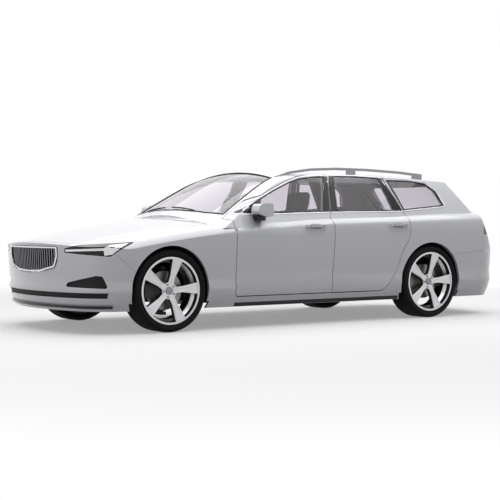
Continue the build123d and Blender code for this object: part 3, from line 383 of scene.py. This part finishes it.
def painted_shade_lacquer():
    # Painted shade: the same lacquer darkened to stand for the shade inside the hollow of a handle
    mat, tree, shader = finish_material("lacquer_painted_shade", "#8E8F95", 0.5, 0.1)
    grain(tree, shader, 3.0, 0.02, "#85868C", "#96979C")
    return mat


def red_lens():
    # Deep red acrylic lens, glossy, with faint level bands below the surface
    band_mm = 8
    mat, tree, shader = finish_material("red_acrylic", "#7A0A10", 0.1, 0.0,
                                        Coat_Weight=1.0, Coat_Roughness=0.02)
    place = add_node(tree, "ShaderNodeTexCoord").outputs["Object"]
    wave = add_node(tree, "ShaderNodeTexWave", {"bands_direction": "Z"},
                    {"Vector": place, "Scale": 1000 / band_mm / 3.1})
    two_tones(tree, shader, wave.outputs["Fac"], "#4C070C", "#640A10")
    return mat


def tyre_rubber(axle_x, axle_z):
    # Carbon-black rubber: matt, with fine slanted cuts across the tread
    mat, tree, shader = finish_material("tyre_rubber", "#050506", 0.7, 0.0, Specular_IOR_Level=0.15)
    place = add_node(tree, "ShaderNodeTexCoord").outputs["Object"]
    centre = add_node(tree, "ShaderNodeMapping", None, {"Vector": place, "Location": (-axle_x, 0.0, -axle_z)})
    centre = centre.outputs["Vector"]
    x, y, z = add_node(tree, "ShaderNodeSeparateXYZ", None, {"Vector": centre}).outputs
    slant = reckon(tree, "MULTIPLY_ADD", reckon(tree, "ARCTAN2", z, x), CUTS_ROUND, 0.0)
    cuts = reckon(tree, "SINE", reckon(tree, "MULTIPLY_ADD", y, CUT_SLANT, slant))
    blocks = reckon(tree, "GREATER_THAN", cuts, CUT_LEVEL)
    flat = add_node(tree, "ShaderNodeVectorMath", {"operation": "MULTIPLY"}, {0: centre, 1: (1.0, 0.0, 1.0)})
    reach = add_node(tree, "ShaderNodeVectorMath", {"operation": "LENGTH"}, {0: flat.outputs[0]})
    wall = reckon(tree, "LESS_THAN", reach.outputs["Value"], TREAD_RADIUS)
    bump = add_node(tree, "ShaderNodeBump", None,
                    {"Height": reckon(tree, "MAXIMUM", blocks, wall), "Distance": CUT_DEPTH, "Strength": 0.8})
    tree.links.new(bump.outputs["Normal"], shader.inputs["Normal"])
    return mat


MATERIALS = {
    "paint": pearl_paint(), "glass": window_glass(), "gloss": black_gloss(), "plastic": moulded_black(),
    "chrome": chrome(), "smoke": dark_chrome(), "alloy": machined_alloy(), "alloy_dark": dark_alloy(),
    "rail": satin_rail(), "iron": cast_iron(), "disc": turned_iron(), "pipe": steel_pipe(),
    "under": underbody(), "leather": leather(), "lining": roof_lining(), "lit": lit_lamp(),
    "shade": painted_shade_lacquer(), "red": red_lens(),
}
# Search trees of the CAD nodes' meshes, made when first asked for
SKINS = {}


def only(obj):
    """Makes obj the one selected and active object, in object mode."""
    if bpy.context.mode != "OBJECT":
        bpy.ops.object.mode_set(mode="OBJECT")
    bpy.ops.object.select_all(action="DESELECT")
    obj.select_set(True)
    bpy.context.view_layer.objects.active = obj


def edit_all(obj):
    """Opens obj in edit mode with everything selected."""
    only(obj)
    bpy.ops.object.mode_set(mode="EDIT")
    bpy.ops.mesh.select_mode(type="VERT")
    bpy.ops.mesh.select_all(action="SELECT")


def close_edit():
    bpy.ops.object.mode_set(mode="OBJECT")


def modify(obj, kind, **settings):
    """Adds a modifier with its settings and applies it."""
    only(obj)
    mod = obj.modifiers.new(kind.lower(), kind)
    for key, value in settings.items():
        setattr(mod, key, value)
    bpy.ops.object.modifier_apply(modifier=mod.name)


def smooth(obj, angle=PANEL_SMOOTH):
    only(obj)
    bpy.ops.object.shade_smooth_by_angle(angle=angle)


def give(obj, *keys):
    """Puts materials in obj's slots, each by its key or as it is."""
    obj.data.materials.clear()
    for key in keys:
        obj.data.materials.append(MATERIALS[key] if isinstance(key, str) else key)


def settle(obj, body, slot, *keys):
    """Places applied, materials given, and the piece fixed to its body."""
    only(obj)
    bpy.ops.object.transform_apply(location=True, rotation=True, scale=True)
    if keys:
        give(obj, *keys)
    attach(obj, body)
    return obj


def body_of_node(name):
    """The moving body that a CAD node belongs to."""
    for body, members in frame["record"]["behaviour"]["bodies"].items():
        if name in members:
            return body
    return "body"


def merged_copy(name, new_name):
    """Copy of a CAD node with its doubled vertices merged."""
    only(nodes[name])
    bpy.ops.object.duplicate()
    obj = bpy.context.active_object
    obj.data.name = obj.name = new_name
    if "custom_normal" in obj.data.attributes:
        obj.data.attributes.remove(obj.data.attributes["custom_normal"])
    edit_all(obj)
    bpy.ops.mesh.remove_doubles(threshold=MERGE)
    close_edit()
    return obj


def dressed(name, slot, *keys, angle=PANEL_SMOOTH, inside=None):
    """Smoothly shaded copy of a CAD node; inside(centre, normal) gives the number of a face's material."""
    obj = merged_copy(name, name + "_dressed")
    give(obj, *keys)
    for face in obj.data.polygons:
        face.material_index = inside(face.center, face.normal) if inside else 0
    smooth(obj, angle)
    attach(obj, body_of_node(name))
    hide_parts(name)
    return obj


def vertex_path(name, points, closed=False):
    """Line through points, drawn by extruding one vertex along them."""
    bpy.ops.object.select_all(action="DESELECT")
    bpy.ops.mesh.primitive_plane_add(size=0.01, location=(0, 0, 0))
    obj = bpy.context.active_object
    obj.data.name = obj.name = name
    edit_all(obj)
    bpy.ops.mesh.merge(type="CENTER")
    bpy.ops.transform.translate(value=Vector(points[0]))
    for p, q in zip(points, points[1:]):
        step = Vector(q) - Vector(p)
        bpy.ops.mesh.extrude_region_move(TRANSFORM_OT_translate={"value": step})
    if closed:
        bpy.ops.mesh.select_all(action="DESELECT")
        close_edit()
        for i in (0, len(obj.data.vertices) - 1):
            obj.data.vertices[i].select = True
        bpy.ops.object.mode_set(mode="EDIT")
        bpy.ops.mesh.edge_face_add()
    close_edit()
    return obj


def rod(name, points, radius, closed=False):
    """Round rod along points: the drawn line becomes a curve with thickness, then a mesh."""
    obj = vertex_path(name, points, closed)
    only(obj)
    bpy.ops.object.convert(target="CURVE")
    obj = bpy.context.active_object
    obj.data.bevel_depth = radius
    obj.data.bevel_resolution = 2
    obj.data.use_fill_caps = True
    bpy.ops.object.convert(target="MESH")
    obj = bpy.context.active_object
    smooth(obj, ROD_SMOOTH)
    return obj


def cast(name, start, direction):
    """Where a ray meets a CAD node: place and normal, or None."""
    if name not in SKINS:
        mesh = nodes[name].data
        SKINS[name] = BVHTree.FromPolygons([v.co for v in mesh.vertices], [p.vertices for p in mesh.polygons])
    place, normal = SKINS[name].ray_cast(Vector(start), Vector(direction))[:2]
    return None if place is None else (place, normal)


def side_point(names, x, z, side, proud):
    """Point on the outside of the named nodes at x, z, lifted off them by proud."""
    best = None
    for name in names:
        hit = cast(name, (x, side * 1.3, z), (0, -side, 0))
        if hit and (best is None or side * hit[0].y > side * best[0].y):
            best = hit
    if best is None:
        # Just off the edge of the panel: the nearest point of it
        near = Vector((x, side * 0.87, z))
        best = (SKINS[names[0]].find_nearest(near)[0], Vector((0, side, 0)))
    return best[0] + best[1] * proud


def subdivided(points, longest=LAY_STEP, closed=False):
    """The same outline with points added so that no side is longer than longest."""
    result = []
    ends = points[1:] + points[:1] if closed else points[1:]
    for p, q in zip(points, ends):
        count = max(1, math.ceil(math.dist(p, q) / longest))
        result += [(p[0] + (q[0] - p[0]) * k / count, p[1] + (q[1] - p[1]) * k / count) for k in range(count)]
    return result if closed else result + [points[-1]]


def patch(name, outline, to_skin, thickness, cuts=4):
    """Thin cover laid on the skin: a filled outline, subdivided, each vertex placed by to_skin(a, b)."""
    obj = vertex_path(name, [(a, b, 0) for a, b in outline], closed=True)
    edit_all(obj)
    bpy.ops.mesh.edge_face_add()
    bpy.ops.mesh.quads_convert_to_tris()
    bpy.ops.mesh.subdivide(number_cuts=cuts)
    close_edit()
    for v in obj.data.vertices:
        v.co = to_skin(v.co.x, v.co.y)
    edit_all(obj)
    bpy.ops.mesh.normals_make_consistent(inside=False)
    close_edit()
    modify(obj, "SOLIDIFY", thickness=thickness, offset=0.0)
    smooth(obj, PART_SMOOTH)
    return obj


def block(name, low, high, bevel):
    """Box between two corners with rounded edges."""
    bpy.ops.object.select_all(action="DESELECT")
    centre = [(a + b) / 2 for a, b in zip(low, high)]
    bpy.ops.mesh.primitive_cube_add(size=1, location=centre)
    obj = bpy.context.active_object
    obj.data.name = obj.name = name
    obj.scale = [abs(b - a) for a, b in zip(low, high)]
    bpy.ops.object.transform_apply(location=True, rotation=True, scale=True)
    modify(obj, "BEVEL", width=bevel, segments=2)
    smooth(obj, PART_SMOOTH)
    return obj


def drum(name, centre, radius, depth, bevel, sides=40):
    """Short cylinder with rounded rims, its axis across the car."""
    bpy.ops.object.select_all(action="DESELECT")
    bpy.ops.mesh.primitive_cylinder_add(vertices=sides, radius=radius, depth=depth, location=centre,
                                        rotation=(math.pi / 2, 0, 0))
    obj = bpy.context.active_object
    obj.data.name = obj.name = name
    bpy.ops.object.transform_apply(location=True, rotation=True, scale=True)
    modify(obj, "BEVEL", width=bevel, segments=2)
    smooth(obj, PART_SMOOTH)
    return obj


def joined(name, pieces):
    """The pieces as one object."""
    bpy.ops.object.select_all(action="DESELECT")
    for piece in pieces:
        piece.select_set(True)
    bpy.context.view_layer.objects.active = pieces[0]
    bpy.ops.object.join()
    obj = bpy.context.active_object
    obj.data.name = obj.name = name
    return obj


def body_panels():
    # Above the belt a panel's inner side is lined, below it is trimmed
    belt, sill_top, facing_in = 1.05, 0.24, -0.35

    def faces_in(side):
        # Inner side of a door or side panel: dark trim below the windows, pale lining above
        return lambda c, n: 0 if n.y * side > facing_in or c.z < sill_top else (2 if c.z > belt else 1)

    for name in ("hood", "front_bumper", "fenders", "rear_bumper", "cowl"):
        dressed(name, "paint", "paint")
    dressed("roof", "paint", "paint", "lining", inside=lambda c, n: int(n.z < -0.4))
    dressed("tailgate", "paint", "paint", "plastic", "lining",
            inside=lambda c, n: 0 if n.x > facing_in else (2 if c.z > belt else 1))
    for label, side in SIDES:
        for name in ("body_side_", "door_front_", "door_rear_"):
            dressed(name + label, "paint", "paint", "plastic", "lining", inside=faces_in(side))
        shell = dressed("mirror_" + label, "paint", "paint")
        modify(shell, "BEVEL", width=0.020, segments=4, limit_method="ANGLE", angle_limit=math.radians(50))
        smooth(shell, SOFT_SMOOTH)
    dressed("roof_rails", "rail_metal", "rail")


def painted_handle_shade():
    # Painted shade behind each pull handle: a thin dark oval laid on the skin in place of a shaded hollow
    half_long, half_high = SHADE_PATCH_HALF
    turns = [2 * math.pi * k / SHADE_PATCH_POINTS for k in range(SHADE_PATCH_POINTS)]
    for label, side in SIDES:
        for end, x_mid, z_mid in HANDLES:
            name = f"door_{end}_{label}"
            oval = [(x_mid + half_long * math.cos(t), z_mid + half_high * math.sin(t)) for t in turns]
            # Dark patch of painted shade, lifted just off the door skin
            shade_patch = patch(f"handle_painted_shade_{end}_{label}", oval,
                         lambda x, z: side_point([name], x, z, side, SHADE_PATCH_LIFT), 0.001, cuts=1)
            settle(shade_patch, body_of_node(name), "black_plastic", "shade")


def windows():
    for name in ["windscreen", "rear_glass", "quarter_glasses"] + [
            f"door_glass_{end}_{label}" for end in AXLES for label, side in SIDES]:
        dressed(name, "glass", "glass")


def window_surrounds():
    outlines = (("door_front", "door_glass_front", FRONT_WINDOW),
                ("door_rear", "door_glass_rear", REAR_WINDOW),
                ("body_side", "quarter_glasses", QUARTER_WINDOW))
    for label, side in SIDES:
        for panel, glass, outline in outlines:
            names = [panel + "_" + label, glass if glass == "quarter_glasses" else glass + "_" + label]
            body = body_of_node(names[0])
            path = [side_point(names, x, z, side, 0.0) for x, z in subdivided(outline, closed=True)]
            seal = rod(f"{panel}_seal_{label}", path, SEAL_RADIUS, closed=True)
            settle(seal, body, "black_plastic", "gloss")
        for name, panel, outline in BRIGHT_STRIPS:
            names = [panel + "_" + label]
            path = [side_point(names, x, z, side, LIFT) for x, z in subdivided(outline)]
            strip = rod(f"{name}_strip_{label}", path, STRIP_RADIUS)
            settle(strip, body_of_node(names[0]), "bright_grille", "chrome")
        for name, panel, outline in BLACK_COVERS:
            names = [panel + "_" + label]
            cover = patch(f"{name}_{label}", outline,
                          lambda x, z: side_point(names, x, z, side, COVER_LIFT), COVER_THICKNESS)
            settle(cover, body_of_node(names[0]), "black_plastic", "gloss")


def both_halves(points, flip):
    """Closed outline from one half and its mirror image across the centre plane."""
    return points + [flip(p) for p in reversed(points[1:-1])]


def seal_round(name, outline, flip, radius, look):
    """Black rod round a mirrored outline; look(a, b) casts each point on the skin and may miss."""
    hits = [look(a, b) for a, b in subdivided(both_halves(outline, flip), closed=True)]
    path = [hit[0] + hit[1] * LIFT for hit in hits if hit]
    settle(rod(name, path, radius, closed=True), "body", "black_plastic", "gloss")


def dark_edges():
    # Black joint round the grille frame, and the black seal round the windscreen
    ahead, aft, above, down = -3.0, (1, 0, 0), 2.0, (0, 0, -1)
    seal_round("grille_joint", GRILLE_EDGE, lambda p: (-p[0], p[1]), GRILLE_JOINT_RADIUS,
               lambda y, z: cast("grille", (ahead, y, z), aft) or cast("front_bumper", (ahead, y, z), aft))
    seal_round("windscreen_seal", SCREEN_EDGE, lambda p: (p[0], -p[1]), SCREEN_SEAL_RADIUS,
               lambda x, y: cast("windscreen", (x, y, above), down) or cast("cowl", (x, y, above), down))


def headlamps():
    dressed("headlamps", "clear_lens", "gloss")
    diagonal, outside = math.sqrt(0.5), 2.6
    for label, side in SIDES:
        def on_lamp(along, z):
            start = (diagonal * (along - outside), side * diagonal * (along + outside), z)
            towards = (diagonal, -side * diagonal, 0)
            place, normal = cast("headlamps", start, towards) or cast("front_bumper", start, towards)
            return place + normal * LIFT

        bar = patch(f"light_bar_{label}", LIGHT_BAR, on_lamp, COVER_THICKNESS, cuts=5)
        settle(bar, "body", "clear_lens", "lit")


def grille_and_intakes():
    # Of the grille's loose parts the foremost wide one is the frame, other wide ones its back, the rest bars
    edit_all(dressed("grille", "bright_grille", "chrome", "smoke", "gloss"))
    bpy.ops.mesh.separate(type="LOOSE")
    close_edit()
    parts = [o for o in bpy.context.selected_objects if o.type == "MESH"]
    wide = [o for o in parts if o.dimensions.y > GRILLE_WIDE]
    wide.sort(key=lambda o: min(v.co.x for v in o.data.vertices))
    for part in parts:
        index = 1 if part not in wide else (0 if part is wide[0] else 2)
        for face in part.data.polygons:
            face.material_index = index
    whole = joined("grille_dressed", parts)
    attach(whole, "body")
    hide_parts("grille")
    dressed("intake_grilles", "black_plastic", "plastic")
    dressed("front_lip", "black_plastic", "gloss")


def tail_lamps():
    # The faces that look forward inside the car are black
    dressed("tail_lamps", "red_lens", "red", "gloss", inside=lambda c, n: int(n.x < -0.2 and abs(n.y) < 0.5))


def wheel_parts(end, label, side, rubber):
    low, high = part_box(f"tyre_{end}_{label}")
    cx, cy, cz = [(a + b) / 2 for a, b in zip(low, high)]
    body = f"wheel_{end}_{label}"

    outline = TYRE_HALF + [(r, -w) for r, w in reversed(TYRE_HALF)]
    tyre = vertex_path(f"tyre_tread_{end}_{label}", [(cx + r, cy + w, cz) for r, w in outline])
    edit_all(tyre)
    bpy.ops.mesh.spin(steps=TYRE_STEPS, angle=2 * math.pi, center=(cx, cy, cz), axis=(0, 1, 0))
    bpy.ops.mesh.select_all(action="SELECT")
    bpy.ops.mesh.remove_doubles(threshold=TYRE_MERGE)
    bpy.ops.mesh.normals_make_consistent(inside=False)
    close_edit()
    smooth(tyre, math.radians(35))
    settle(tyre, body, "tyre", rubber)
    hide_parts(f"tyre_{end}_{label}")

    # Bright where the rim looks outboard, dark on its barrel and backs
    dressed(f"rim_{end}_{label}", "alloy", "alloy", "alloy_dark", angle=math.radians(30),
            inside=lambda c, n: int(n.y * side < 0.25))
    dressed(f"brake_disc_{end}_{label}", "cast_metal", "disc")

    ridges = []
    for degrees in SPOKE_DEGREES:
        c, d = math.cos(math.radians(degrees)), math.sin(math.radians(degrees))
        for edge in (-1, 1):
            points = [(cx - side * (r * c - edge * w * d), cy + side * out, cz + r * d + edge * w * c)
                      for r, w, out in SPOKE_EDGE]
            ridges.append(rod("ridge", points, RIDGE_RADIUS))
    settle(joined(f"spoke_ridges_{end}_{label}", ridges), body, "alloy", "alloy")

    radius, depth, out = HUB_CAP
    cap = drum(f"hub_cap_{end}_{label}", (cx, cy + side * out, cz), radius, depth, 0.003)
    settle(cap, body, "alloy", "smoke")
    radius, depth, out = BOLT
    bolts = []
    for k in range(BOLT_COUNT):
        angle = math.radians(FIRST_BOLT_DEGREES + 360 / BOLT_COUNT * k)
        place = (cx + BOLT_CIRCLE * math.cos(angle), cy + side * out, cz + BOLT_CIRCLE * math.sin(angle))
        bolts.append(drum("bolt", place, radius, depth, 0.001, sides=6))
    settle(joined(f"wheel_bolts_{end}_{label}", bolts), body, "cast_metal", "smoke")


def wheels():
    for end in AXLES:
        low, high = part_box(f"tyre_{end}_left")
        rubber = tyre_rubber((low[0] + high[0]) / 2, (low[2] + high[2]) / 2)
        for label, side in SIDES:
            wheel_parts(end, label, side, rubber)


def seats():
    for name in ("front_seats", "rear_bench"):
        obj = merged_copy(name, name + "_cushions")
        modify(obj, "REMESH", mode="VOXEL", voxel_size=CUSHION_VOXEL)
        modify(obj, "SMOOTH", factor=0.5, iterations=CUSHION_PASSES)
        smooth(obj, SOFT_SMOOTH)
        settle(obj, "body", "seat_leather", "leather")
        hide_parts(name)


def tuck_lips(liners):
    for v in liners.data.vertices:
        if v.co.z < LINER_TOP:
            # The liners' lips stay just under the skin where the side draws in near the sill
            rise = min(max(v.co.z - LIP_Z, 0.0), LIP_RISE)
            reach = LIP_HALF_WIDTH + LIP_SLOPE * rise - (v.co.x - BODY_WIDEST_X) ** 2 / SIDE_BOW
            v.co.y = max(min(v.co.y, reach), -reach)


def steering():
    # The wheel, its column to the dashboard, and three spokes from its hub to the rim
    dressed("steering_wheel", "black_plastic", "leather")
    axis, hub = Vector(WHEEL_AXIS), Vector(WHEEL_HUB)
    across, up = Vector((0.0, 1.0, 0.0)), Vector((-axis.z, 0.0, axis.x))
    near, far, radius = COLUMN
    column = rod("steering_column", [hub - axis * far, hub - axis * near], radius)
    settle(column, "body", "black_plastic", "plastic")
    near, far, radius = WHEEL_SPOKE
    for number, way in enumerate((across, -across, -up)):
        spoke = rod(f"steering_spoke_{number}", [hub + way * near, hub + way * far], radius)
        settle(spoke, "steering_wheel", "black_plastic", "leather")


def cabin_and_chassis():
    for name, slot, key in PLAIN_PIECES:
        obj = dressed(name, slot, key)
        if name == "wheel_houses":
            tuck_lips(obj)
    steering()


def side_block(name, corners, side, bevel):
    """Block given for the left side by its corners, set on either side."""
    (x0, near, z0), (x1, far, z1) = corners
    y0, y1 = sorted((side * near, side * far))
    return block(name, (x0, y0, z0), (x1, y1, z1), bevel)


def mirrors():
    for label, side in SIDES:
        body = body_of_node("mirror_" + label)
        settle(side_block(f"mirror_face_{label}", MIRROR_FACE, side, 0.003), body, "bright_grille", "chrome")
        settle(side_block(f"mirror_foot_{label}", MIRROR_FOOT, side, 0.008), body, "black_plastic", "gloss")


def wipers():
    arms = []
    for y_pivot, y_tip in WIPERS:
        rows = [y_pivot + (y_tip - y_pivot) * k / (WIPER_POINTS - 1) for k in range(WIPER_POINTS)]
        hits = [cast("windscreen", (WIPER_X, y, 1.6), (0, 0, -1)) for y in rows]
        arms.append(rod("wiper", [hit[0] + hit[1] * WIPER_LIFT for hit in hits if hit], WIPER_RADIUS))
    settle(joined("wipers", arms), "body", "black_plastic", "plastic")


def seen_by_eye(tree):
    """1 for camera, glossy and transmission rays, 0 for the light that falls on the car."""
    path = add_node(tree, "ShaderNodeLightPath").outputs
    seen = reckon(tree, "MAXIMUM", path["Is Camera Ray"], path["Is Transmission Ray"])
    return reckon(tree, "MAXIMUM", seen, path["Is Glossy Ray"])


def pale_floor():
    # Keeps the car's shadow near it and fades to plain white; dark to the light it throws back
    mat, tree, shader = finish_material("pale_floor", "#FFFFFF", 0.7)
    seen = seen_by_eye(tree)
    place = add_node(tree, "ShaderNodeTexCoord").outputs["Object"]
    reach = add_node(tree, "ShaderNodeVectorMath", {"operation": "LENGTH"}, {0: place})
    fade = add_node(tree, "ShaderNodeMapRange", None,
                    {"Value": reach.outputs["Value"], "From Min": FLOOR_FADE[0], "From Max": FLOOR_FADE[1]})
    share = reckon(tree, "MULTIPLY", fade.outputs[0], seen)
    two_tones(tree, shader, seen, "#8A8A8C", "#FFFFFF")
    white = add_node(tree, "ShaderNodeEmission", None, {"Color": (1, 1, 1, 1), "Strength": 1.0})
    lift = add_node(tree, "ShaderNodeEmission", None, {"Color": (1, 1, 1, 1), "Strength": seen})
    near = add_node(tree, "ShaderNodeMixShader", None,
                    {0: FLOOR_WHITE, 1: shader.outputs[0], 2: lift.outputs[0]})
    mix = add_node(tree, "ShaderNodeMixShader", None,
                   {0: share, 1: near.outputs[0], 2: white.outputs[0]})
    tree.links.new(mix.outputs[0], tree.nodes["Material Output"].inputs["Surface"])
    return mat


def studio():
    # White all round, soft light from above, from both sides and from the front
    bpy.ops.object.select_all(action="DESELECT")
    bpy.ops.mesh.primitive_plane_add(size=FLOOR_SIZE, location=(0, 0, 0))
    floor = bpy.context.active_object
    floor.name = "floor"
    floor.data.materials.append(pale_floor())

    world = bpy.data.worlds.new("studio")
    bpy.context.scene.world = world
    world.use_nodes = True
    tree = world.node_tree
    back = tree.nodes["Background"]
    back.inputs["Color"].default_value = linear("#E6E7EA")
    back.inputs["Strength"].default_value = WORLD_STRENGTH
    white = add_node(tree, "ShaderNodeBackground", None, {"Color": (1, 1, 1, 1), "Strength": 1.0})
    mix = add_node(tree, "ShaderNodeMixShader", None,
                   {0: seen_by_eye(tree), 1: back.outputs[0], 2: white.outputs[0]})
    tree.links.new(mix.outputs[0], tree.nodes["World Output"].inputs["Surface"])

    for name, place, size, power, aim in LAMPS:
        lamp = bpy.data.lights.new(name, "AREA")
        lamp.shape = "RECTANGLE"
        lamp.size, lamp.size_y = size
        lamp.energy = power
        obj = bpy.data.objects.new(name, lamp)
        bpy.context.scene.collection.objects.link(obj)
        obj.location = place
        obj.rotation_euler = (Vector(aim) - Vector(place)).to_track_quat("-Z", "Y").to_euler()


def camera():
    lens = bpy.data.cameras.new("camera")
    lens.sensor_width = SENSOR_MM
    lens.lens = SENSOR_MM * CAMERA_FOCAL
    obj = bpy.data.objects.new("camera", lens)
    bpy.context.scene.collection.objects.link(obj)
    obj.location = CAMERA_PLACE
    obj.rotation_euler = (math.radians(90 - CAMERA_TILT), 0.0, math.radians(CAMERA_HEADING))
    bpy.context.scene.camera = obj


bpy.ops.object.select_all(action="DESELECT")
bpy.context.scene.view_settings.view_transform = "Standard"
body_panels()
painted_handle_shade()
windows()
window_surrounds()
dark_edges()
headlamps()
grille_and_intakes()
tail_lamps()
wheels()
seats()
cabin_and_chassis()
mirrors()
wipers()
studio()
camera()
